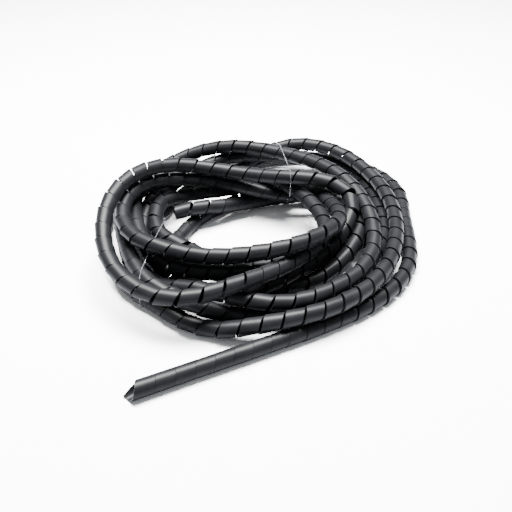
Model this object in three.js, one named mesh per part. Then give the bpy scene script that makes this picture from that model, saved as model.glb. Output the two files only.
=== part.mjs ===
// A hank of black spiral cable wrap, loosely coiled by hand and held by two thin clear ties.
// Millimetres, +Z up. The origin is on the floor under the middle of the hank's outline.
// The straight free end lies parallel to X and its cut end faces -X.
import * as THREE from 'three';

// The wrap itself.
const WRAP_OUTER_DIAMETER = 10;
const WRAP_WALL = 1.1;
const OUTER_SIDES = 10;
const BORE_SIDES = 8;

// How the strands lie on each other. Strands nearer than STRAND_GAP are pushed apart.
const STRAND_GAP = 0.6;
const STATION_STEP = 16;
const STRAIGHT_END_LENGTH = 99;
const SETTLE_ROUNDS = 400;
const FINAL_ROUNDS = 60;
const BEND_SMOOTHING = 0.5;
const GUIDE_PULL = 0.2;
const SAG_PER_ROUND = 0.06;
const LENGTH_CORRECTION = 0.25;
const BEND_WIDTHS_APART = 4;

// The ties. Each lies in an upright plane through its middle, turned by its direction from X.
const TIE_THREAD_DIAMETER = 0.6;
const TIE_CLEARANCE = 0.3;
const TIE_THREAD_SIDES = 6;
const TIE_LIFT_REACH = 26;
// It holds the strands within its reach, the front one only those in its lowest layers.
const REAR_TIE = { x: 44, y: 56, direction: 71, reach: 7 * WRAP_OUTER_DIAMETER };
const FRONT_TIE = { x: -86, y: -14, direction: 57, reach: 6 * WRAP_OUTER_DIAMETER, layers: 2.2 };
const OVERPASS_ROOM = 1.8;
const OVERPASS_REACH = 16;

// Fineness of the sampling that finds what a tie goes round.
const CORNERS_PER_BEND = 12;
const SECTION_SAMPLES = 20;
const SECTION_HALF_DEPTH = 1.2;
const SHORTEST_TIE_EDGE = 0.15;

// Fineness of the route's curve, and limits under which two directions count as the same.
const CURVE_DIVISIONS = 4000;
const PARALLEL_SHARE = 1e-6;
const STRAIGHT_AREA = 1e-9;

// A zigzag's fourth difference is this many times its height.
const FOURTH_DIFFERENCE_GAIN = 16;

// Guide points of the centreline, turn by turn from the end of the straight stretch inwards. The
// strands that the photograph shows were traced by eye, and the hidden ones were guessed. Outside
// this script the traces were then fitted to lie on each other and rounded to whole millimetres.
const GUIDE_TURNS = [
  [
    [-20, -85, 5], [7, -84, 5], [34, -81, 5], [59, -73, 5], [81, -57, 5],
    [96, -35, 6], [109, -11, 6], [122, 12, 7], [124, 39, 7], [116, 64, 6],
    [100, 86, 5], [78, 101, 5], [52, 109, 5], [25, 108, 5], [0, 99, 5],
    [-24, 86, 5], [-46, 71, 5], [-69, 56, 5], [-84, 35, 6], [-84, 8, 8],
    [-75, -17, 11], [-58, -38, 16], [-40, -57, 18],
  ],
  [
    [-16, -70, 17], [10, -72, 18], [36, -65, 19], [57, -48, 21], [69, -24, 26],
    [73, 2, 30], [69, 29, 33], [59, 54, 32], [44, 76, 31], [24, 93, 31],
    [1, 107, 26], [-24, 112, 19], [-50, 106, 12], [-73, 92, 9], [-89, 71, 6],
    [-96, 45, 5], [-96, 18, 5], [-90, -8, 5], [-79, -33, 5], [-65, -56, 5],
    [-45, -72, 11], [-20, -81, 15],
  ],
  [
    [7, -83, 15], [33, -77, 15], [57, -64, 15], [77, -45, 15], [92, -23, 16],
    [102, 2, 18], [105, 28, 20], [102, 55, 22], [90, 79, 23], [70, 96, 20],
    [45, 102, 13], [20, 95, 9], [-6, 90, 14], [-32, 90, 21], [-58, 85, 20],
    [-77, 66, 18], [-84, 40, 17], [-87, 14, 18], [-85, -13, 17], [-74, -37, 15],
    [-53, -54, 10], [-28, -63, 6],
  ],
  [
    [-1, -66, 5], [25, -62, 5], [50, -51, 5], [72, -36, 6], [90, -15, 6],
    [100, 9, 7], [105, 36, 9], [103, 63, 10], [87, 82, 11], [61, 89, 15],
    [35, 95, 19], [9, 100, 17], [-18, 99, 12], [-41, 86, 10], [-58, 66, 15],
    [-69, 41, 13], [-73, 15, 11], [-66, -11, 9], [-50, -33, 10], [-27, -46, 13],
  ],
  [
    [-1, -46, 15], [25, -38, 16], [48, -26, 21], [62, -8, 33], [47, 11, 39],
    [27, 29, 37], [7, 48, 35], [-15, 63, 37], [-40, 69, 42], [-66, 60, 45],
    [-87, 44, 42], [-99, 21, 35], [-102, -5, 29], [-94, -30, 26], [-76, -49, 26],
    [-50, -55, 28], [-23, -52, 27],
  ],
  [
    [3, -46, 26], [27, -35, 27], [38, -11, 27], [38, 16, 28], [29, 41, 29],
    [12, 62, 26], [-11, 75, 24], [-37, 79, 24], [-62, 70, 25], [-72, 45, 23],
    [-76, 18, 22], [-70, -7, 20], [-51, -26, 20], [-26, -37, 20],
  ],
  [
    [0, -36, 20], [25, -26, 16], [50, -17, 10], [72, -4, 5], [81, 21, 5],
    [66, 43, 5], [42, 55, 5], [16, 59, 5], [-11, 55, 5], [-35, 43, 5],
    [-54, 23, 5], [-57, -2, 7], [-40, -22, 14], [-15, -29, 15],
  ],
  [
    [11, -31, 8], [38, -30, 5], [64, -24, 6], [82, -7, 14], [75, 15, 22],
    [52, 27, 17], [28, 39, 18], [5, 52, 23], [-19, 64, 27], [-45, 67, 32],
    [-70, 57, 34], [-83, 35, 32], [-81, 8, 31], [-65, -14, 31], [-44, -30, 32],
    [-20, -41, 35],
  ],
  [
    [7, -45, 37], [32, -37, 36], [48, -17, 31], [51, 10, 28], [45, 36, 26],
    [27, 53, 18], [1, 61, 15], [-25, 67, 15], [-49, 59, 19], [-62, 36, 19],
    [-58, 10, 16], [-43, -13, 8], [-23, -33, 5],
  ],
  [
    [0, -46, 5], [26, -46, 8], [50, -35, 14], [67, -15, 17], [72, 11, 12],
    [61, 35, 9], [36, 45, 8], [9, 47, 10], [-18, 46, 14], [-45, 49, 16],
  ],
];

// A polygon whose mean radius is the real one, with a flat side down so that it rests on it.
const OUTER_RADIUS = WRAP_OUTER_DIAMETER / 2;
const CORNER_RADIUS = (2 * OUTER_RADIUS) / (1 + Math.cos(Math.PI / OUTER_SIDES));
const REST_HEIGHT = CORNER_RADIUS * Math.cos(Math.PI / OUTER_SIDES);
const BORE_RADIUS = OUTER_RADIUS - WRAP_WALL;
const BORE_CORNER_RADIUS = (2 * BORE_RADIUS) / (1 + Math.cos(Math.PI / BORE_SIDES));

const STRAND_SPACING = WRAP_OUTER_DIAMETER + STRAND_GAP;
const TIE_LIFT = TIE_THREAD_DIAMETER + 2 * TIE_CLEARANCE;

const UP = new THREE.Vector3(0, 0, 1);

/** Place of a point in a tie's plane: along it and up it, how far off it, and if in its reach. */
function placeInTie(point, tie) {
  const angle = THREE.MathUtils.degToRad(tie.direction);
  const x = point.x - tie.x;
  const y = point.y - tie.y;
  const along = x * Math.cos(angle) + y * Math.sin(angle);
  const away = Math.abs(y * Math.cos(angle) - x * Math.sin(angle));
  return { along, up: point.z, away, held: Math.abs(along) < tie.reach };
}

/** Lowest height of the centreline at a point: on the floor, or just over a tie's thread. */
function floorHeight(point) {
  let lift = 0;
  for (const tie of [REAR_TIE, FRONT_TIE]) {
    const place = placeInTie(point, tie);
    const share = place.away / TIE_LIFT_REACH;
    lift = Math.max(lift, place.held ? TIE_LIFT * Math.exp(-share * share) : 0);
  }
  return REST_HEIGHT + lift;
}

/** Distance that strands keep at a point: more where some pass over the front tie's thread. */
function strandSpacing(point) {
  const place = placeInTie(point, FRONT_TIE);
  const share = place.away / OVERPASS_REACH;
  return STRAND_SPACING + (place.held ? OVERPASS_ROOM * Math.exp(-share * share) : 0);
}

/** Points every STATION_STEP along a smooth curve through the cut end and the guide points. */
function traceRoute() {
  const guides = GUIDE_TURNS.flat().map(([x, y, z]) => new THREE.Vector3(x, y, z));
  const cutEnd = guides[0].clone();
  cutEnd.x -= STRAIGHT_END_LENGTH;
  const curve = new THREE.CatmullRomCurve3([cutEnd, ...guides], false, 'centripetal');
  curve.arcLengthDivisions = CURVE_DIVISIONS;
  return curve.getSpacedPoints(Math.round(curve.getLength() / STATION_STEP));
}

/** Pulls each point of the route towards a smooth bend, leaving the straight end alone. */
function smoothBends(route, pinned) {
  const pulled = route.map((point) => point.clone());
  for (let i = pinned; i < route.length - 2; i += 1) {
    const fourth = new THREE.Vector3();
    fourth.addScaledVector(route[i - 2], 1).addScaledVector(route[i - 1], -4);
    fourth.addScaledVector(route[i], 6).addScaledVector(route[i + 1], -4);
    fourth.addScaledVector(route[i + 2], 1);
    pulled[i].addScaledVector(fourth, -BEND_SMOOTHING / FOURTH_DIFFERENCE_GAIN);
  }
  pulled.forEach((point, i) => route[i].copy(point));
}

/** Shares of the way along links a and b, each 0 to 1, where the two links come closest. */
function closestShares(aStart, aLink, bStart, bLink) {
  const between = new THREE.Vector3().subVectors(aStart, bStart);
  const aa = aLink.lengthSq();
  const bb = bLink.lengthSq();
  const ab = aLink.dot(bLink);
  const ac = aLink.dot(between);
  const bc = bLink.dot(between);
  const spread = aa * bb - ab * ab;
  let shareA = spread > PARALLEL_SHARE * aa * bb ? (ab * bc - ac * bb) / spread : 0.5;
  shareA = THREE.MathUtils.clamp(shareA, 0, 1);
  let shareB = THREE.MathUtils.clamp((ab * shareA + bc) / bb, 0, 1);
  shareA = THREE.MathUtils.clamp((ab * shareB - ac) / aa, 0, 1);
  shareB = THREE.MathUtils.clamp((ab * shareA + bc) / bb, 0, 1);
  return [shareA, shareB];
}

/** Moves links of the route that lie closer than the strands' spacing apart, half each. */
function pushStrandsApart(route, pinned) {
  const skip = Math.ceil((BEND_WIDTHS_APART * STRAND_SPACING) / STATION_STEP);
  const links = route.slice(1).map((point, i) => new THREE.Vector3().subVectors(point, route[i]));
  const gap = new THREE.Vector3();
  const nearEnough = STRAND_SPACING + OVERPASS_ROOM + 2 * STATION_STEP;
  for (let i = 0; i < links.length; i += 1) {
    const spacing = strandSpacing(route[i]);
    for (let j = i + skip; j < links.length; j += 1) {
      if (route[i].distanceTo(route[j]) < nearEnough) {
        const [a, b] = closestShares(route[i], links[i], route[j], links[j]);
        gap.subVectors(route[i], route[j]).addScaledVector(links[i], a).addScaledVector(links[j], -b);
        const distance = gap.length();
        if (distance < spacing) {
          gap.multiplyScalar((0.5 * (spacing - distance)) / distance);
          const shares = [
            [i, 1 - a, 1],
            [i + 1, a, 1],
            [j, 1 - b, -1],
            [j + 1, b, -1],
          ];
          for (const [k, share, sign] of shares) {
            if (k >= pinned) {
              route[k].addScaledVector(gap, share * sign);
            }
          }
        }
      }
    }
  }
}

/** Keeps neighbouring points of the route STATION_STEP apart. */
function keepLength(route, pinned) {
  const link = new THREE.Vector3();
  for (let i = pinned - 1; i < route.length - 1; i += 1) {
    link.subVectors(route[i + 1], route[i]);
    link.multiplyScalar(LENGTH_CORRECTION * (1 - STATION_STEP / link.length()));
    if (i >= pinned) {
      route[i].add(link);
    }
    route[i + 1].sub(link);
  }
}

/** Lets the traced route settle until its strands lie on the floor and on each other. */
function settleRoute(route) {
  const pinned = Math.floor(STRAIGHT_END_LENGTH / STATION_STEP) + 1;
  const start = route[0].clone();
  for (let i = 0; i < pinned; i += 1) {
    route[i].set(start.x + i * STATION_STEP, start.y, REST_HEIGHT);
  }
  const traced = route.map((point) => point.clone());
  for (let round = 0; round < SETTLE_ROUNDS + FINAL_ROUNDS; round += 1) {
    const settling = round < SETTLE_ROUNDS;
    if (settling) {
      smoothBends(route, pinned);
      for (let i = pinned; i < route.length; i += 1) {
        route[i].lerp(traced[i], GUIDE_PULL);
        route[i].z -= SAG_PER_ROUND;
      }
    }
    keepLength(route, pinned);
    pushStrandsApart(route, pinned);
    for (let i = pinned; i < route.length; i += 1) {
      route[i].z = Math.max(route[i].z, floorHeight(route[i]));
    }
  }
  return route;
}

/** Moves the settled route so that its outline's middle is at the origin, and returns that middle. */
function centreRoute(route) {
  const box = new THREE.Box3();
  for (const station of makeStations(route)) {
    for (let corner = 0; corner < OUTER_SIDES; corner += 1) {
      box.expandByPoint(sectionCorner(station, CORNER_RADIUS, OUTER_SIDES, corner));
    }
  }
  const middle = box.getCenter(new THREE.Vector3());
  middle.z = 0;
  route.forEach((point) => point.sub(middle));
  return middle;
}

/** Centre, sideways and upward directions of the wrap's section at each station. */
function makeStations(route) {
  return route.map((centre, i) => {
    const before = route[Math.max(0, i - 1)];
    const after = route[Math.min(route.length - 1, i + 1)];
    const ahead = new THREE.Vector3().subVectors(after, before).normalize();
    const side = new THREE.Vector3().crossVectors(UP, ahead).normalize();
    const lift = new THREE.Vector3().crossVectors(ahead, side).normalize();
    return { centre, side, lift };
  });
}

/** One corner of the section polygon at a station, numbered from its lowest flat side. */
function sectionCorner(station, radius, sides, corner) {
  const angle = -Math.PI / 2 + ((corner + 0.5) * 2 * Math.PI) / sides;
  return station.centre
    .clone()
    .addScaledVector(station.side, radius * Math.cos(angle))
    .addScaledVector(station.lift, radius * Math.sin(angle));
}

/** Turns lists of points and triangles into a mesh geometry with flat facets. */
function makeGeometry(points, triangles) {
  const geometry = new THREE.BufferGeometry();
  const positions = new Float32Array(points.flatMap((point) => [point.x, point.y, point.z]));
  geometry.setAttribute('position', new THREE.BufferAttribute(positions, 3));
  geometry.setIndex(triangles.flat());
  geometry.computeVertexNormals();
  return geometry;
}

/** Two triangles for the quad a, b, c, d, seen counter-clockwise from outside. */
function quad(a, b, c, d) {
  return [
    [a, b, c],
    [a, c, d],
  ];
}

/** The hollow wrap: an outer skin, a bore and a flat ring at each cut end. */
function buildWrap(stations) {
  const points = [];
  const triangles = [];
  const last = stations.length - 1;
  const outer = (i, k) => i * OUTER_SIDES + (k % OUTER_SIDES);
  const boreStart = stations.length * OUTER_SIDES;
  const bore = (i, k) => boreStart + i * BORE_SIDES + (k % BORE_SIDES);
  for (const station of stations) {
    for (let k = 0; k < OUTER_SIDES; k += 1) {
      points.push(sectionCorner(station, CORNER_RADIUS, OUTER_SIDES, k));
    }
  }
  for (const station of stations) {
    for (let k = 0; k < BORE_SIDES; k += 1) {
      points.push(sectionCorner(station, BORE_CORNER_RADIUS, BORE_SIDES, k));
    }
  }
  for (let i = 0; i < last; i += 1) {
    for (let k = 0; k < OUTER_SIDES; k += 1) {
      triangles.push(...quad(outer(i, k), outer(i, k + 1), outer(i + 1, k + 1), outer(i + 1, k)));
    }
    for (let k = 0; k < BORE_SIDES; k += 1) {
      triangles.push(...quad(bore(i, k), bore(i + 1, k), bore(i + 1, k + 1), bore(i, k + 1)));
    }
  }
  addEndRing(triangles, (k) => outer(0, k), (k) => bore(0, k), true);
  addEndRing(triangles, (k) => outer(last, k), (k) => bore(last, k), false);
  return makeGeometry(points, triangles);
}

/** Fills the flat ring between the outer polygon and the bore at one end of the wrap. */
function addEndRing(triangles, outer, bore, atStart) {
  let a = 0;
  let b = 0;
  while (a < OUTER_SIDES || b < BORE_SIDES) {
    const outerNext = (a + 1) / OUTER_SIDES;
    const boreNext = (b + 1) / BORE_SIDES;
    const stepOuter = b >= BORE_SIDES || (a < OUTER_SIDES && outerNext <= boreNext);
    const third = stepOuter ? outer(a + 1) : bore(b + 1);
    const triangle = [outer(a), bore(b), third];
    triangles.push(atStart ? triangle : [triangle[0], triangle[2], triangle[1]]);
    a += stepOuter ? 1 : 0;
    b += stepOuter ? 0 : 1;
  }
}

/** Convex outline of points in a plane, counter-clockwise. */
function convexOutline(points) {
  const sorted = [...points].sort((p, q) => p.x - q.x || p.y - q.y);
  const half = (list) => {
    const chain = [];
    for (const p of list) {
      while (chain.length > 1) {
        const a = chain[chain.length - 2];
        const b = chain[chain.length - 1];
        if ((b.x - a.x) * (p.y - a.y) - (b.y - a.y) * (p.x - a.x) > STRAIGHT_AREA) {
          break;
        }
        chain.pop();
      }
      chain.push(p);
    }
    chain.pop();
    return chain;
  };
  return [...half(sorted), ...half(sorted.reverse())];
}

/** The wrap's surface near a tie's plane, without the strands that pass over the thread. */
function bundleSection(stations, tie) {
  const section = [];
  const point = new THREE.Vector3();
  const highest = tie.layers ? tie.layers * STRAND_SPACING : Infinity;
  for (let i = 0; i < stations.length - 1; i += 1) {
    const near = placeInTie(stations[i].centre, tie).away < 2 * STATION_STEP;
    if (near && stations[i].centre.z < highest) {
      for (let k = 0; k < OUTER_SIDES; k += 1) {
        const from = sectionCorner(stations[i], CORNER_RADIUS, OUTER_SIDES, k);
        const to = sectionCorner(stations[i + 1], CORNER_RADIUS, OUTER_SIDES, k);
        for (let sample = 0; sample < SECTION_SAMPLES; sample += 1) {
          point.lerpVectors(from, to, sample / SECTION_SAMPLES);
          const place = placeInTie(point, tie);
          if (place.held && place.away < SECTION_HALF_DEPTH) {
            section.push(new THREE.Vector2(place.along, place.up));
          }
        }
      }
    }
  }
  return section;
}

/** A closed thread pulled tight round the strands of a bundle in one upright plane. */
function buildTie(stations, tie) {
  const angle = THREE.MathUtils.degToRad(tie.direction);
  const threadRadius = TIE_THREAD_DIAMETER / 2;
  const offset = TIE_CLEARANCE + threadRadius;
  const rounded = [];
  for (const p of convexOutline(bundleSection(stations, tie))) {
    for (let k = 0; k < CORNERS_PER_BEND; k += 1) {
      const turn = (k * 2 * Math.PI) / CORNERS_PER_BEND;
      rounded.push(new THREE.Vector2(p.x + offset * Math.cos(turn), p.y + offset * Math.sin(turn)));
    }
  }
  const outline = convexOutline(rounded).filter((p, i, all) => {
    const before = all[(i + all.length - 1) % all.length];
    return p.distanceTo(before) > SHORTEST_TIE_EDGE;
  });
  const count = outline.length;
  const points = [];
  const triangles = [];
  const across = new THREE.Vector3(Math.cos(angle), Math.sin(angle), 0);
  const through = new THREE.Vector3().crossVectors(across, UP);
  outline.forEach((p, i) => {
    const before = outline[(i + count - 1) % count];
    const after = outline[(i + 1) % count];
    const ahead = new THREE.Vector2().subVectors(after, before).normalize();
    for (let k = 0; k < TIE_THREAD_SIDES; k += 1) {
      const turn = (k * 2 * Math.PI) / TIE_THREAD_SIDES;
      const outward = threadRadius * Math.cos(turn);
      const point = new THREE.Vector3(tie.x, tie.y, 0);
      point.addScaledVector(across, p.x + outward * ahead.y);
      point.addScaledVector(UP, p.y - outward * ahead.x);
      point.addScaledVector(through, threadRadius * Math.sin(turn));
      points.push(point);
    }
  });
  for (let i = 0; i < count; i += 1) {
    const here = i * TIE_THREAD_SIDES;
    const next = ((i + 1) % count) * TIE_THREAD_SIDES;
    for (let k = 0; k < TIE_THREAD_SIDES; k += 1) {
      const turn = (k + 1) % TIE_THREAD_SIDES;
      triangles.push(...quad(here + k, next + k, next + turn, here + turn));
    }
  }
  return makeGeometry(points, triangles);
}

/** Adds a named mesh to the group. */
function addMesh(group, name, geometry, material) {
  const mesh = new THREE.Mesh(geometry, material);
  mesh.name = name;
  group.add(mesh);
}

const blackPolyethylene = new THREE.MeshStandardMaterial({
  color: 0x17181a,
  roughness: 0.42,
  metalness: 0,
});
const clearNylon = new THREE.MeshStandardMaterial({
  color: 0xd8dcdd,
  roughness: 0.25,
  metalness: 0,
});

const route = settleRoute(traceRoute());
const middle = centreRoute(route);
const stations = makeStations(route);
const rearTie = { ...REAR_TIE, x: REAR_TIE.x - middle.x, y: REAR_TIE.y - middle.y };
const frontTie = { ...FRONT_TIE, x: FRONT_TIE.x - middle.x, y: FRONT_TIE.y - middle.y };
const group = new THREE.Group();
group.name = 'spiral_wrap_hank';
addMesh(group, 'spiral_wrap', buildWrap(stations), blackPolyethylene);
addMesh(group, 'tie_rear', buildTie(stations, rearTie), clearNylon);
addMesh(group, 'tie_front', buildTie(stations, frontTie), clearNylon);

export default group;
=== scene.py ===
"""Looks of a hank of black spiral cable wrap, loosely coiled and held by two thin clear ties."""

import logging
import math
from collections.abc import Callable
from dataclasses import dataclass, field
from enum import Enum

import bpy
import numpy as np
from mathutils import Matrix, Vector

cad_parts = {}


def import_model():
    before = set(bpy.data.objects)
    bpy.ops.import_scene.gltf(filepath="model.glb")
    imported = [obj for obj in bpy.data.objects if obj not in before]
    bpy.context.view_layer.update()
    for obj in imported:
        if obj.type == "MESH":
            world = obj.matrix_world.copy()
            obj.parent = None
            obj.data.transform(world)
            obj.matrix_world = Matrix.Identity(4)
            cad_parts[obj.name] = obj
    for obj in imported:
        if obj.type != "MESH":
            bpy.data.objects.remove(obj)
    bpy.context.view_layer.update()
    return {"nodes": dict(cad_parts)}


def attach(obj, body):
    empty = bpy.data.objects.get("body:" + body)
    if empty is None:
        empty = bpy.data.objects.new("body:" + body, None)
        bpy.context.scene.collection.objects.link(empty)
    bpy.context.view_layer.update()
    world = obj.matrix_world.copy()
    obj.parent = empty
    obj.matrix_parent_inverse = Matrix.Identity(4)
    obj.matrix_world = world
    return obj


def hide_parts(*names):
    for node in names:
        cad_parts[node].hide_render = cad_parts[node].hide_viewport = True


LOG = logging.getLogger("spiral_wrap_hank")
MM = 0.001

# Places in metres that agree to this many decimals belong to one vertex
MERGE_DECIMALS = 6

# Distance from the outermost vertex within which vertices belong to the cut end
CUT_END_DEPTH = 0.01 * MM

# Numbers of the colour sockets on Blender's Mix node
MIX_COLOUR_A = 6
MIX_COLOUR_B = 7
MIX_COLOUR_RESULT = 2


class Node(Enum):
    """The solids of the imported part."""

    WRAP = "spiral_wrap"
    TIE_REAR = "tie_rear"
    TIE_FRONT = "tie_front"


class Slot(Enum):
    """The record's material slots."""

    BLACK = "black_polyethylene"
    CLEAR = "clear_nylon"


# Geometry helpers


def unit(rows: np.ndarray) -> np.ndarray:
    """Scales each row of an array of vectors to length one."""
    return rows / np.linalg.norm(rows, axis=-1, keepdims=True)


def ease(share: np.ndarray) -> np.ndarray:
    """Makes an even share from 0 to 1 start and end gently."""
    return share * share * (3.0 - 2.0 * share)


def smooth_steps(seed: int, count: int, spacing: int) -> np.ndarray:
    """Makes a gently wandering series.

    Args:
        seed: Start of the random generator, so that each run gives the same series.
        count: Number of values to return.
        spacing: Number of values between two random ones.

    Returns:
        Values from -1 to 1 that pass smoothly through the random ones.
    """
    generator = np.random.default_rng(seed)
    knots = generator.uniform(-1.0, 1.0, count // spacing + 3)
    place = np.arange(count) / spacing
    index = place.astype(int)
    share = ease(place - index)
    return knots[index] * (1.0 - share) + knots[index + 1] * share


def make_mesh_object(
    name: str, points: np.ndarray, faces: list[tuple[int, ...]]
) -> bpy.types.Object:
    """Makes a smooth-shaded mesh object from points in metres and faces."""
    mesh = bpy.data.meshes.new(name)
    mesh.from_pydata(points.tolist(), [], faces)
    mesh.validate()
    mesh.update()
    mesh.shade_smooth()
    piece = bpy.data.objects.new(name, mesh)
    bpy.context.scene.collection.objects.link(piece)
    return piece


@dataclass
class Centreline:
    """The smooth line that the middle of a swept solid follows.

    Args:
        stations: Middles of the solid's rings, in order, in metres.
        spacing: Distance between the samples of the smooth line, in metres.
        fine_per_station: Number of points of the fine polyline for each station.
        evening_reach: How far to each side the bend is evened out, in metres.
    """

    stations: np.ndarray
    spacing: float = 0.5 * MM
    fine_per_station: int = 60
    evening_reach: float = 8.0 * MM
    points: np.ndarray = field(init=False)
    along: np.ndarray = field(init=False)
    ahead: np.ndarray = field(init=False)
    normal: np.ndarray = field(init=False)
    bend: np.ndarray = field(init=False)

    def __post_init__(self) -> None:
        """Samples the smooth line and carries a frame along it without twist."""
        self.points = self._sample_evenly(self._cubic_through_stations())
        self.along = np.arange(len(self.points)) * self.spacing
        self.ahead = unit(np.gradient(self.points, axis=0))
        self.normal = self._carry_normal()
        self.bend = self._measure_bend()

    @property
    def length(self) -> float:
        """Length of the line in metres."""
        return float(self.along[-1])

    @classmethod
    def of_node(
        cls, node: bpy.types.Object, first_ring: Callable[[np.ndarray], np.ndarray]
    ) -> "Centreline":
        """Follows the rings of a swept solid from one end of it to the other.

        Args:
            node: The CAD object, whose place is in its vertices.
            first_ring: Picks the vertices of the end ring that the line starts at.

        Returns:
            The line through the middles of the rings.
        """
        places = np.array([vertex.co for vertex in node.data.vertices], float)
        keys, merged = np.unique(np.round(places, MERGE_DECIMALS), axis=0, return_inverse=True)
        merged = merged.reshape(-1)
        neighbours: list[set[int]] = [set() for _ in keys]
        for edge in node.data.edges:
            a, b = (int(merged[index]) for index in edge.vertices)
            neighbours[a].add(b)
            neighbours[b].add(a)
        ring = {int(index) for index in np.flatnonzero(first_ring(keys))}
        seen = set(ring)
        middles = []
        while ring:
            middles.append(keys[sorted(ring)].mean(axis=0))
            ring = {other for index in ring for other in neighbours[index]} - seen
            seen |= ring
        return cls(np.array(middles))

    def _cubic_through_stations(self) -> np.ndarray:
        """Finds a fine polyline on the natural cubic curve through the stations."""
        chords = np.linalg.norm(np.diff(self.stations, axis=0), axis=1)
        knots = np.concatenate([[0.0], np.cumsum(chords)])
        count = len(knots)
        matrix = np.eye(count)
        target = np.zeros((count, 3))
        for i in range(1, count - 1):
            before, after = chords[i - 1], chords[i]
            matrix[i, i - 1 : i + 2] = before, 2.0 * (before + after), after
            slope_change = (self.stations[i + 1] - self.stations[i]) / after
            slope_change = slope_change - (self.stations[i] - self.stations[i - 1]) / before
            target[i] = 6.0 * slope_change
        second = np.linalg.solve(matrix, target)
        where = np.linspace(0.0, knots[-1], count * self.fine_per_station)
        index = np.clip(np.searchsorted(knots, where) - 1, 0, count - 2)
        span = chords[index][:, None]
        left = (knots[index + 1] - where)[:, None] / span
        right = 1.0 - left
        line = left * self.stations[index] + right * self.stations[index + 1]
        line = line + (left**3 - left) * second[index] * span**2 / 6.0
        return line + (right**3 - right) * second[index + 1] * span**2 / 6.0

    def _sample_evenly(self, line: np.ndarray) -> np.ndarray:
        """Places points on a polyline at even distances along it."""
        steps = np.linalg.norm(np.diff(line, axis=0), axis=1)
        along = np.concatenate([[0.0], np.cumsum(steps)])
        where = np.arange(0.0, along[-1], self.spacing)
        return np.stack([np.interp(where, along, line[:, axis]) for axis in range(3)], axis=1)

    def _carry_normal(self) -> np.ndarray:
        """Carries an upright normal along the line without twisting it."""
        normals = np.zeros_like(self.ahead)
        current = np.array([0.0, 0.0, 1.0])
        for i, ahead in enumerate(self.ahead):
            current = current - ahead * float(current @ ahead)
            current = current / math.sqrt(float(current @ current))
            normals[i] = current
        return normals

    def _measure_bend(self) -> np.ndarray:
        """Curvature vectors of the line, evened out over about one tube width."""
        raw = np.gradient(self.ahead, self.spacing, axis=0)
        half = int(self.evening_reach / self.spacing) + 1
        window = np.hanning(2 * half + 1)
        window = window / window.sum()
        evened = [np.convolve(raw[:, axis], window, mode="same") for axis in range(3)]
        return np.stack(evened, axis=1)

    def at(self, where: np.ndarray, values: np.ndarray) -> np.ndarray:
        """Reads values that are stored per sample at any distances along the line."""
        columns = [np.interp(where, self.along, values[:, axis]) for axis in range(3)]
        return np.stack(columns, axis=1)

    def place(self, where: np.ndarray) -> np.ndarray:
        """Points of the line at distances along it, run straight on past its ends."""
        inside = np.clip(where, 0.0, self.length)
        past = (where - inside)[:, None]
        return self.at(inside, self.points) + self.at(inside, self.ahead) * past


# Shader helpers


@dataclass
class Shader:
    """A node tree with short calls that add and join nodes."""

    tree: bpy.types.NodeTree

    def add(self, kind: str, **inputs: object) -> bpy.types.Node:
        """Adds a node and sets its inputs.

        Args:
            kind: Blender's type name of the node.
            **inputs: Values or output sockets by the input's name, with _ for spaces.

        Returns:
            The new node.
        """
        node = self.tree.nodes.new(kind)
        for name, value in inputs.items():
            self.feed(node.inputs[name.replace("_", " ")], value)
        return node

    def feed(self, socket: bpy.types.NodeSocket, value: object) -> None:
        """Links an output socket to an input, or sets the input's own value."""
        if isinstance(value, bpy.types.NodeSocket):
            self.tree.links.new(value, socket)
        else:
            socket.default_value = value

    def math(self, operation: str, a: object, b: object = 0.0) -> bpy.types.NodeSocket:
        """Adds a Math node and returns its result."""
        node = self.tree.nodes.new("ShaderNodeMath")
        node.operation = operation
        self.feed(node.inputs[0], a)
        self.feed(node.inputs[1], b)
        return node.outputs[0]

    def remap(
        self, value: object, low: float, high: float, to_low: float, to_high: float
    ) -> bpy.types.NodeSocket:
        """Maps a range of a value to another range, held at both ends."""
        node = self.add("ShaderNodeMapRange", Value=value)
        limits = {"From Min": low, "From Max": high, "To Min": to_low, "To Max": to_high}
        for name, number in limits.items():
            node.inputs[name].default_value = number
        return node.outputs["Result"]

    def mix(self, share: object, a: object, b: object) -> bpy.types.NodeSocket:
        """Mixes two colours."""
        node = self.tree.nodes.new("ShaderNodeMix")
        node.data_type = "RGBA"
        self.feed(node.inputs["Factor"], share)
        self.feed(node.inputs[MIX_COLOUR_A], a)
        self.feed(node.inputs[MIX_COLOUR_B], b)
        return node.outputs[MIX_COLOUR_RESULT]


def new_material(name: str) -> tuple[bpy.types.Material, Shader, bpy.types.Node]:
    """Makes a material with an empty tree, a Principled BSDF and an output."""
    material = bpy.data.materials.new(name)
    material.use_nodes = True
    material.node_tree.nodes.clear()
    shader = Shader(material.node_tree)
    surface = shader.add("ShaderNodeBsdfPrincipled")
    output = shader.add("ShaderNodeOutputMaterial")
    shader.feed(output.inputs["Surface"], surface.outputs["BSDF"])
    return material, shader, surface


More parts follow.
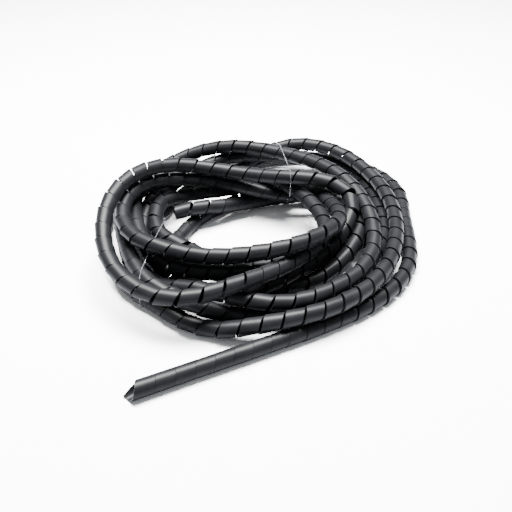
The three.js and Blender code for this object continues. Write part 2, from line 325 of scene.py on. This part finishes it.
class DrawnPlastic:
    """Group of the fine lines and specks that drawing leaves in an extruded plastic."""

    NAME = "drawn_plastic"
    COARSE_DETAIL = 3.0
    CLOUD_SCALE = 0.12
    SPECK_SCALE = 3.2
    SPECK_DETAIL = 2.0

    @classmethod
    def group(cls) -> bpy.types.NodeTree:
        """Returns the group, and builds it on the first call."""
        known = bpy.data.node_groups.get(cls.NAME)
        return known if known else cls._build()

    @classmethod
    def _build(cls) -> bpy.types.NodeTree:
        """Builds the group with its named inputs and outputs."""
        tree = bpy.data.node_groups.new(cls.NAME, "ShaderNodeTree")
        interface = tree.interface
        interface.new_socket("Place", in_out="INPUT", socket_type="NodeSocketVector")
        interface.new_socket("Line Density", in_out="INPUT", socket_type="NodeSocketFloat")
        interface.new_socket("Line Stretch", in_out="INPUT", socket_type="NodeSocketFloat")
        interface.new_socket("Lines", in_out="OUTPUT", socket_type="NodeSocketFloat")
        interface.new_socket("Clouding", in_out="OUTPUT", socket_type="NodeSocketFloat")
        interface.new_socket("Specks", in_out="OUTPUT", socket_type="NodeSocketFloat")
        shader = Shader(tree)
        entry = shader.add("NodeGroupInput")
        leave = shader.add("NodeGroupOutput")
        split = shader.add("ShaderNodeSeparateXYZ", Vector=entry.outputs["Place"])
        slow = shader.math("MULTIPLY", split.outputs["Z"], entry.outputs["Line Stretch"])
        drawn = shader.add("ShaderNodeCombineXYZ", X=split.outputs["X"], Y=split.outputs["Y"], Z=slow)
        lines = shader.add("ShaderNodeTexNoise", Vector=drawn.outputs[0], Detail=cls.COARSE_DETAIL)
        shader.feed(lines.inputs["Scale"], entry.outputs["Line Density"])
        clouding = shader.add("ShaderNodeTexNoise", Vector=entry.outputs["Place"])
        clouding.inputs["Scale"].default_value = cls.CLOUD_SCALE
        clouding.inputs["Detail"].default_value = cls.COARSE_DETAIL
        specks = shader.add("ShaderNodeTexNoise", Vector=entry.outputs["Place"])
        specks.inputs["Scale"].default_value = cls.SPECK_SCALE
        specks.inputs["Detail"].default_value = cls.SPECK_DETAIL
        shader.feed(leave.inputs["Lines"], lines.outputs["Fac"])
        shader.feed(leave.inputs["Clouding"], clouding.outputs["Fac"])
        shader.feed(leave.inputs["Specks"], specks.outputs["Fac"])
        return tree

    @classmethod
    def place(cls, shader: Shader, where: object, density: float, stretch: float) -> bpy.types.Node:
        """Places the group in a material with its own values."""
        node = shader.tree.nodes.new("ShaderNodeGroup")
        node.node_tree = cls.group()
        shader.feed(node.inputs["Place"], where)
        node.inputs["Line Density"].default_value = density
        node.inputs["Line Stretch"].default_value = stretch
        return node


@dataclass(frozen=True)
class BlackPolyethylene:
    """Finish of the wrap: satin black polyethylene with drawn lines along the tube."""

    body: tuple[float, float, float, float] = (0.0036, 0.0037, 0.0042, 1.0)
    worn: tuple[float, float, float, float] = (0.0062, 0.0063, 0.0070, 1.0)
    roughness: tuple[float, float] = (0.35, 0.47)
    line_height: float = 0.05 * MM
    line_density: float = 1.6
    line_stretch: float = 0.02
    line_span: tuple[float, float] = (0.3, 0.7)
    cloud_span: tuple[float, float] = (0.35, 0.75)
    relief_strength: float = 0.35
    specular_level: float = 0.085
    refraction: float = 1.51
    space_name: str = "wrap_space"

    def material(self) -> bpy.types.Material:
        """Builds the material."""
        material, shader, surface = new_material("black_polyethylene")
        space = shader.add("ShaderNodeAttribute")
        space.attribute_name = self.space_name
        where = space.outputs["Vector"]
        drawn = DrawnPlastic.place(shader, where, self.line_density, self.line_stretch)
        tone = shader.remap(drawn.outputs["Clouding"], *self.cloud_span, 0.0, 1.0)
        shader.feed(surface.inputs["Base Color"], shader.mix(tone, self.body, self.worn))
        rough = shader.remap(drawn.outputs["Lines"], *self.line_span, *self.roughness)
        shader.feed(surface.inputs["Roughness"], rough)
        relief = shader.math("ADD", drawn.outputs["Lines"], drawn.outputs["Specks"])
        bump = shader.add("ShaderNodeBump", Height=relief)
        bump.inputs["Strength"].default_value = self.relief_strength
        bump.inputs["Distance"].default_value = self.line_height
        shader.feed(surface.inputs["Normal"], bump.outputs["Normal"])
        surface.inputs["Specular IOR Level"].default_value = self.specular_level
        surface.inputs["IOR"].default_value = self.refraction
        return material


@dataclass(frozen=True)
class ClearNylon:
    """Finish of the ties: clear nylon thread."""

    tint: tuple[float, float, float, float] = (0.86, 0.88, 0.89, 1.0)
    roughness: tuple[float, float] = (0.12, 0.24)
    line_density: float = 900.0
    line_stretch: float = 1.0
    line_span: tuple[float, float] = (0.3, 0.7)
    transmission: float = 0.9
    refraction: float = 1.53

    def material(self) -> bpy.types.Material:
        """Builds the material."""
        material, shader, surface = new_material("clear_nylon")
        where = shader.add("ShaderNodeTexCoord").outputs["Object"]
        drawn = DrawnPlastic.place(shader, where, self.line_density, self.line_stretch)
        rough = shader.remap(drawn.outputs["Lines"], *self.line_span, *self.roughness)
        shader.feed(surface.inputs["Roughness"], rough)
        surface.inputs["Base Color"].default_value = self.tint
        surface.inputs["Transmission Weight"].default_value = self.transmission
        surface.inputs["IOR"].default_value = self.refraction
        return material


@dataclass(frozen=True)
class PaleFloor:
    """Finish of the floor: plain matt white.

    The camera sees it near white, but it throws only about half as much light back on
    the hank, because with the full amount the black plastic looks grey.
    """

    tone: tuple[float, float, float, float] = (0.95, 0.95, 0.95, 1.0)
    thrown_back: tuple[float, float, float, float] = (0.46, 0.48, 0.51, 1.0)
    roughness: float = 0.9
    specular_level: float = 0.1

    def material(self) -> bpy.types.Material:
        """Builds the material."""
        material, shader, surface = new_material("pale_floor")
        path = shader.add("ShaderNodeLightPath")
        shade = shader.mix(path.outputs["Is Camera Ray"], self.thrown_back, self.tone)
        shader.feed(surface.inputs["Base Color"], shade)
        surface.inputs["Roughness"].default_value = self.roughness
        surface.inputs["Specular IOR Level"].default_value = self.specular_level
        return material


# The hank


@dataclass
class SpiralWrap:
    """The wrap: one plastic band wound into a tube, with a slit between its turns.

    The sizes are in metres, and the helix is left-handed as in the photograph.

    Args:
        line: The middle of the tube.
        coil_tightness: Tube radius over bend radius from which the tube counts as coiled.
        usual_opening: Share of the coil's slit that is open on the whole.
        opening_wander: How far that share strays from stretch to stretch.
        bend_opening: Share of a bend's tightness by which its turns stand further apart.
        sharpest_bend: Tightness beyond which they stand no further apart.
        coil_flare: How far the edges of coiled turns stand off the tube. Below 0 it is
            the edge towards the line's start that stands out.
        straight_flare: Share of the flare's wander that is left on the straight end.
        tip_overhang: How far the tip of the first end reaches past the line's start.
        sliver_share: Share of its half width that the last turn loses before it stops.
        edge_spacing: Distance that sets the section's points apart on the square cut.
        overrun_widths: Band widths by which the turning runs on past the line's ends.
        path_spacing: Distance between the points of a path along the cord; not used.
    """

    line: Centreline
    outer_radius: float = 5.0 * MM
    wall: float = 1.1 * MM
    band_width: float = 11.25 * MM
    least_slit: float = 0.05 * MM
    coil_slit: float = 0.80 * MM
    coil_tightness: float = 0.045
    slit_wander: float = 0.45 * MM
    usual_opening: float = 0.85
    opening_wander: float = 0.50
    opening_seed: int = 11
    opening_spacing: int = 260
    slit_seed: int = 7
    slit_spacing: int = 70
    bend_opening: float = 0.35
    sharpest_bend: float = 0.3
    edge_round: float = 0.10 * MM
    segments_per_turn: int = 26
    coil_flare: float = -0.30 * MM
    flare_wander: float = 0.14 * MM
    straight_flare: float = 0.35
    flare_seed: int = 3
    radius_wander: float = 0.08 * MM
    radius_seed: int = 5
    tip_overhang: float = 0.5 * MM
    start_tip_degrees: float = 150.0
    cut_slant_degrees: float = 70.0
    cut_fade_degrees: float = 240.0
    sliver_share: float = 0.9
    floor_height: float = 0.0
    edge_spacing: float = 0.02 * MM
    overrun_widths: float = 2.0
    sharp_degrees: float = 40.0
    path_spacing: float = 4.0 * MM

    def build(self) -> bpy.types.Object:
        """Builds the band, dresses it and puts it on the part.

        Returns:
            The band object.
        """
        points, space, rings, ring_size = self._band_points()
        faces = self._band_faces(rings, ring_size)
        piece = make_mesh_object("spiral_wrap_band", points, faces)
        finish = BlackPolyethylene()
        attribute = piece.data.attributes.new(finish.space_name, "FLOAT_VECTOR", "POINT")
        attribute.data.foreach_set("vector", space.astype(np.float32).ravel())
        piece.data.set_sharp_from_angle(angle=math.radians(self.sharp_degrees))
        piece.data.materials.append(finish.material())
        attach(piece, "root")
        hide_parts(Node.WRAP.value)
        return piece

    def _tightness(self) -> tuple[np.ndarray, np.ndarray]:
        """Finds how tightly the tube bends along the line, and how far it counts as coiled.

        Returns:
            The tube's radius over the bend's radius, and a share from 0 to 1, for each
            sample of the line.
        """
        tightness = np.linalg.norm(self.line.bend, axis=1) * self.outer_radius
        return tightness, np.clip(tightness / self.coil_tightness, 0.0, 1.0)

    def _turning(self) -> tuple[np.ndarray, np.ndarray]:
        """Finds how the band's middle turns round the line.

        The slit is open wherever the tube is coiled, in some stretches more than in others,
        and the pitch grows with the bend, as the turns press together on its inside. The
        slit also wanders a little, as it does in a wrap that was pulled about.

        Returns:
            Distances along the line, from before its start to past its end, and the
            band's turning angle at each.
        """
        tightness, coiled = self._tightness()
        count = len(tightness)
        opening = smooth_steps(self.opening_seed, count, self.opening_spacing)
        stretches = self.usual_opening + self.opening_wander * opening
        slit = self.least_slit + self.coil_slit * coiled * stretches
        wander = smooth_steps(self.slit_seed, count, self.slit_spacing)
        slit += self.slit_wander * coiled * np.clip(wander, 0.0, 1.0)
        spread = self.bend_opening * np.clip(tightness, 0.0, self.sharpest_bend)
        pitch = (self.band_width + slit) / (1.0 - spread)
        overrun = int(self.overrun_widths * self.band_width / self.line.spacing)
        pitch = np.pad(pitch, overrun, mode="edge")
        along = (np.arange(len(pitch)) - overrun) * self.line.spacing
        angle = np.cumsum(2.0 * math.pi * self.line.spacing / pitch)
        tip = float(np.interp(0.5 * self.band_width - self.tip_overhang, along, angle))
        return along, angle - tip + math.radians(self.start_tip_degrees)

    def _band_angles(self, across: np.ndarray) -> np.ndarray:
        """Turning angles of the band's points, slanted where its first end is cut.

        Args:
            across: Places across the band, from -1 at its edge towards the start of
                the line to 1 at the other.

        Returns:
            One row of angles for each section of the band.
        """
        along, angle = self._turning()
        slant = math.radians(self.cut_slant_degrees)
        fade = math.radians(self.cut_fade_degrees)
        first = math.radians(self.start_tip_degrees) - slant
        past_end = 0.5 * self.band_width * self.sliver_share
        last = float(np.interp(self.line.length + past_end, along, angle))
        count = int((last - first) * self.segments_per_turn / (2.0 * math.pi))
        turning = np.linspace(first, last, count)
        from_start = np.clip((turning - first) / fade, 0.0, 1.0)[:, None]
        start_share = 1.0 - ease(from_start)
        return turning[:, None] + slant * start_share * 0.5 * (1.0 - across)

    def _section(self) -> np.ndarray:
        """Outline of the band's section, as share of the half width and height in the wall."""
        half = 0.5 * self.band_width
        rounded = 1.0 - self.edge_round / half
        low = 1.0 - self.edge_round / self.wall
        return np.array(
            [
                [-1.0, 0.0],
                [-1.0, low],
                [-rounded, 1.0],
                [0.0, 1.0],
                [rounded, 1.0],
                [1.0, low],
                [1.0, 0.0],
                [0.0, 0.0],
            ]
        )

    def _band_points(self) -> tuple[np.ndarray, np.ndarray, int, int]:
        """Finds the band's points.

        The band's last turn is cut square with the line, so it narrows to a sliver there.
        Edges that would dip under the floor lie flat on it.

        Returns:
            The points, their places on the unrolled tube in millimetres, the number
            of sections along the band and the number of points in a section.
        """
        section = self._section()
        steps = self._band_angles(section[:, 0])
        count = len(steps)
        two_turns = 2 * self.segments_per_turn
        flare = self.flare_wander * smooth_steps(self.flare_seed, count, two_turns)
        swell = self.radius_wander * smooth_steps(self.radius_seed, count, self.segments_per_turn)
        along, angle = self._turning()
        _, coiled = self._tightness()
        half = 0.5 * self.band_width
        points = np.zeros((count, len(section), 3))
        space = np.zeros((count, len(section), 3))
        for k, (across, height) in enumerate(section):
            turn = steps[:, k]
            where = np.interp(turn, angle, along)
            inside = np.clip(where, 0.0, self.line.length)
            ahead = unit(self.line.at(inside, self.line.ahead))
            normal = self.line.at(inside, self.line.normal)
            normal = unit(normal - ahead * (normal * ahead).sum(axis=1, keepdims=True))
            side = np.cross(ahead, normal)
            outward = normal * np.cos(turn)[:, None] - side * np.sin(turn)[:, None]
            radius = self.outer_radius - self.wall * (1.0 - height)
            bent = np.interp(inside, self.line.along, coiled)
            flare_share = self.straight_flare + (1.0 - self.straight_flare) * bent
            tilt = flare * flare_share + self.coil_flare * bent
            radial = radius + swell + tilt * across
            room = self.line.length - where + self.edge_spacing * across
            reach = np.minimum(across * half, room)
            points[:, k] = self.line.place(where) + ahead * reach[:, None]
            points[:, k] += outward * radial[:, None]
            points[:, k, 2] = np.maximum(points[:, k, 2], self.floor_height)
            space[:, k, 0] = radius * np.cos(turn) / MM
            space[:, k, 1] = radius * np.sin(turn) / MM
            space[:, k, 2] = (where + reach) / MM
        return points.reshape(-1, 3), space.reshape(-1, 3), count, len(section)

    def _band_faces(self, rings: int, ring_size: int) -> list[tuple[int, ...]]:
        """Joins the band's sections with quads and closes its two ends."""
        faces: list[tuple[int, ...]] = []
        for i in range(rings - 1):
            here = i * ring_size
            ahead = here + ring_size
            for k in range(ring_size):
                following = (k + 1) % ring_size
                faces.append((here + k, ahead + k, ahead + following, here + following))
        faces.append(tuple(range(ring_size)))
        last = (rings - 1) * ring_size
        faces.append(tuple(reversed(range(last, last + ring_size))))
        return faces


@dataclass
class Ties:
    """The two clear threads pulled tight round the bundle, each with its knot.

    Args:
        nodes: The CAD objects by name.
        tail_along: Share of its length by which a cut end runs along the thread.
        tail_across: Share of its length by which it runs across the thread.
        tail_rise: How much it bows outward, as a share of its length.
        first_normal: Direction from which the tube's first normal is found.
    """

    nodes: dict[str, bpy.types.Object]
    thread_radius: float = 0.13 * MM
    sides: int = 8
    samples: int = 260
    knot_size: float = 0.75 * MM
    knot_samples: int = 49
    tail_lengths: tuple[float, float] = (5.0 * MM, 7.0 * MM)
    tail_samples: int = 12
    tail_along: float = 0.8
    tail_across: float = 0.5
    tail_rise: float = 0.35
    first_normal: tuple[float, float, float] = (0.3, 0.5, 0.8)

    def build(self) -> list[bpy.types.Object]:
        """Builds both threads and puts them on the part.

        Returns:
            The two thread objects.
        """
        material = ClearNylon().material()
        return [
            self._thread("rear_thread", Node.TIE_REAR, material),
            self._thread("front_thread", Node.TIE_FRONT, material),
        ]

    def _thread(self, name: str, node: Node, material: bpy.types.Material) -> bpy.types.Object:
        """Builds one thread, with its knot and two short ends where it reaches furthest in X.

        Args:
            name: Name of the new piece.
            node: The CAD thread that it replaces.
            material: The thread's finish.

        Returns:
            The thread object.
        """
        loop = self._loop(self.nodes[node.value])
        start = int(np.argmax(loop[:, 0]))
        loop = np.roll(loop, -start, axis=0)
        middle = loop.mean(axis=0)
        out = unit((loop[0] - middle)[None, :])[0]
        along = unit((loop[1] - loop[-1])[None, :])[0]
        across = np.cross(along, out)
        knot = self._knot(loop[0] + out * self.thread_radius, along, across, out)
        first_tail, second_tail = self._tails(loop[0] + out * self.knot_size, along, across, out)
        parts = [self._tube(np.vstack([loop, loop[:1]])), self._tube(knot)]
        parts += [self._tube(first_tail), self._tube(second_tail)]
        points = np.vstack([part[0] for part in parts])
        faces: list[tuple[int, ...]] = []
        start_index = 0
        for part_points, part_faces in parts:
            faces += [tuple(index + start_index for index in face) for face in part_faces]
            start_index += len(part_points)
        piece = make_mesh_object(name, points, faces)
        piece.data.materials.append(material)
        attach(piece, "root")
        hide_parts(node.value)
        return piece

    def _loop(self, node: bpy.types.Object) -> np.ndarray:
        """Finds the middle line of a CAD thread."""
        corners = [tuple(vertex.co) for vertex in node.data.vertices]
        places = np.unique(np.round(corners, MERGE_DECIMALS), axis=0)
        flat = places - places.mean(axis=0)
        _, _, axes = np.linalg.svd(flat, full_matrices=False)
        across, up, through = flat @ axes[0], flat @ axes[1], axes[2]
        angle = np.arctan2(up, across)
        outward = np.hypot(across, up)
        bins = np.linspace(-math.pi, math.pi, self.samples + 1)
        line = []
        for low, high in zip(bins[:-1], bins[1:], strict=True):
            near = (angle >= low) & (angle < high)
            if near.any():
                reach = 0.5 * (outward[near].min() + outward[near].max())
                middle = 0.5 * (low + high)
                line.append((reach * math.cos(middle), reach * math.sin(middle)))
        plane = np.array(line)
        points = plane[:, :1] * axes[0] + plane[:, 1:] * axes[1] + places.mean(axis=0)
        return points - through * float((points - places.mean(axis=0)).mean(axis=0) @ through)

    def _knot(
        self, at: np.ndarray, along: np.ndarray, across: np.ndarray, out: np.ndarray
    ) -> np.ndarray:
        """Middle line of a small overhand knot, a trefoil that reaches knot_size from a point."""
        turn = np.linspace(0.0, 2.0 * math.pi, self.knot_samples)
        reach_at_size_one = 3.0
        size = self.knot_size / reach_at_size_one
        x = size * (np.sin(turn) + 2.0 * np.sin(2.0 * turn))
        y = size * (np.cos(turn) - 2.0 * np.cos(2.0 * turn))
        z = size * np.sin(3.0 * turn)
        return at + x[:, None] * along + y[:, None] * across + z[:, None] * out

    def _tails(
        self, at: np.ndarray, along: np.ndarray, across: np.ndarray, out: np.ndarray
    ) -> tuple[np.ndarray, np.ndarray]:
        """Middle lines of the two cut ends that stand off a knot."""
        share = np.linspace(0.0, 1.0, self.tail_samples)[:, None]
        rise = out * (self.tail_rise * share * (1.0 - share))
        tails = []
        for length, side in zip(self.tail_lengths, (1.0, -1.0), strict=True):
            reach = along * (self.tail_along * side) + across * (self.tail_across * side)
            tails.append(at + length * (reach * share + rise))
        return tails[0], tails[1]

    def _tube(self, line: np.ndarray) -> tuple[np.ndarray, list[tuple[int, ...]]]:
        """Sweeps the thread's round section along a line.

        Args:
            line: Middle points of the thread.

        Returns:
            Points and faces of the tube, closed at both ends.
        """
        ahead = unit(np.gradient(line, axis=0))
        normal = np.zeros_like(line)
        current = np.array(self.first_normal)
        for i, direction in enumerate(ahead):
            current = current - direction * float(current @ direction)
            current = current / math.sqrt(float(current @ current))
            normal[i] = current
        side = np.cross(ahead, normal)
        turn = np.arange(self.sides) * 2.0 * math.pi / self.sides
        ring = normal[:, None, :] * np.cos(turn)[None, :, None]
        ring = ring + side[:, None, :] * np.sin(turn)[None, :, None]
        points = (line[:, None, :] + ring * self.thread_radius).reshape(-1, 3)
        faces: list[tuple[int, ...]] = []
        for i in range(len(line) - 1):
            first = i * self.sides
            for k in range(self.sides):
                here = first + k
                following = first + (k + 1) % self.sides
                faces.append((here, following, following + self.sides, here + self.sides))
        faces.append(tuple(reversed(range(self.sides))))
        last = (len(line) - 1) * self.sides
        faces.append(tuple(range(last, last + self.sides)))
        return points, faces


@dataclass
class Studio:
    """The camera at the photograph's angle, a white floor and soft light."""

    target: tuple[float, float, float] = (-10.71 * MM, -16.30 * MM, 0.0)
    azimuth: float = -25.0
    elevation: float = 38.0
    distance: float = 415.8 * MM
    focal_pixels: float = 610.0
    image_pixels: float = 512.0
    sensor_mm: float = 36.0
    clip_start: float = 0.01
    clip_end: float = 50.0
    floor_half_size: float = 3.0
    box_place: tuple[float, float, float] = (0.04, 0.18, 0.84)
    box_size: tuple[float, float] = (0.66, 0.40)
    box_watts: float = 124.0
    surround_colour: tuple[float, float, float, float] = (0.93, 0.97, 1.0, 1.0)
    surround_strength: float = 0.65

    def camera(self) -> None:
        """Makes the camera and makes it the scene's own."""
        data = bpy.data.cameras.new("photo_camera")
        data.sensor_width = self.sensor_mm
        data.lens = self.focal_pixels / self.image_pixels * self.sensor_mm
        data.clip_start = self.clip_start
        data.clip_end = self.clip_end
        camera = bpy.data.objects.new("photo_camera", data)
        bpy.context.scene.collection.objects.link(camera)
        turn = math.radians(self.azimuth)
        rise = math.radians(self.elevation)
        flat = math.cos(rise)
        back = Vector((math.sin(turn) * flat, -math.cos(turn) * flat, math.sin(rise)))
        camera.location = Vector(self.target) + back * self.distance
        camera.rotation_mode = "QUATERNION"
        camera.rotation_quaternion = (-back).to_track_quat("-Z", "Y")
        bpy.context.scene.camera = camera

    def floor(self) -> None:
        """Makes the floor that the hank lies on."""
        corners = np.array([[-1.0, -1.0, 0.0], [1.0, -1.0, 0.0], [1.0, 1.0, 0.0], [-1.0, 1.0, 0.0]])
        floor = make_mesh_object("floor", corners * self.floor_half_size, [(0, 1, 2, 3)])
        floor.data.materials.append(PaleFloor().material())

    def lights(self) -> None:
        """Makes the soft box and the white surround."""
        self._soft_box()
        world = bpy.data.worlds.new("white_surround")
        world.use_nodes = True
        background = world.node_tree.nodes["Background"]
        background.inputs["Color"].default_value = self.surround_colour
        background.inputs["Strength"].default_value = self.surround_strength
        bpy.context.scene.world = world

    def _soft_box(self) -> None:
        """Makes the rectangular light above and behind the hank, facing its middle."""
        data = bpy.data.lights.new("top_box", "AREA")
        data.shape = "RECTANGLE"
        data.size, data.size_y = self.box_size
        data.energy = self.box_watts
        light = bpy.data.objects.new("top_box", data)
        light.location = self.box_place
        aim = Vector(self.target) - Vector(self.box_place)
        light.rotation_mode = "QUATERNION"
        light.rotation_quaternion = aim.to_track_quat("-Z", "Y")
        bpy.context.scene.collection.objects.link(light)


def cut_end_ring(places: np.ndarray) -> np.ndarray:
    """Picks the vertices of the wrap's square cut end, which faces -X."""
    return places[:, 0] < places[:, 0].min() + CUT_END_DEPTH


def main() -> None:
    """Builds the scene piece by piece."""
    logging.basicConfig(level=logging.INFO)
    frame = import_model()
    nodes = frame["nodes"]
    studio = Studio()
    studio.camera()
    line = Centreline.of_node(nodes[Node.WRAP.value], cut_end_ring)
    LOG.info("centreline: %d stations, %.3f m", len(line.stations), line.length)
    band = SpiralWrap(line).build()
    LOG.info("band: %d faces", len(band.data.polygons))
    for thread in Ties(nodes).build():
        LOG.info("%s: %d faces", thread.name, len(thread.data.polygons))
    studio.floor()
    studio.lights()


if __name__ == "__main__":
    main()
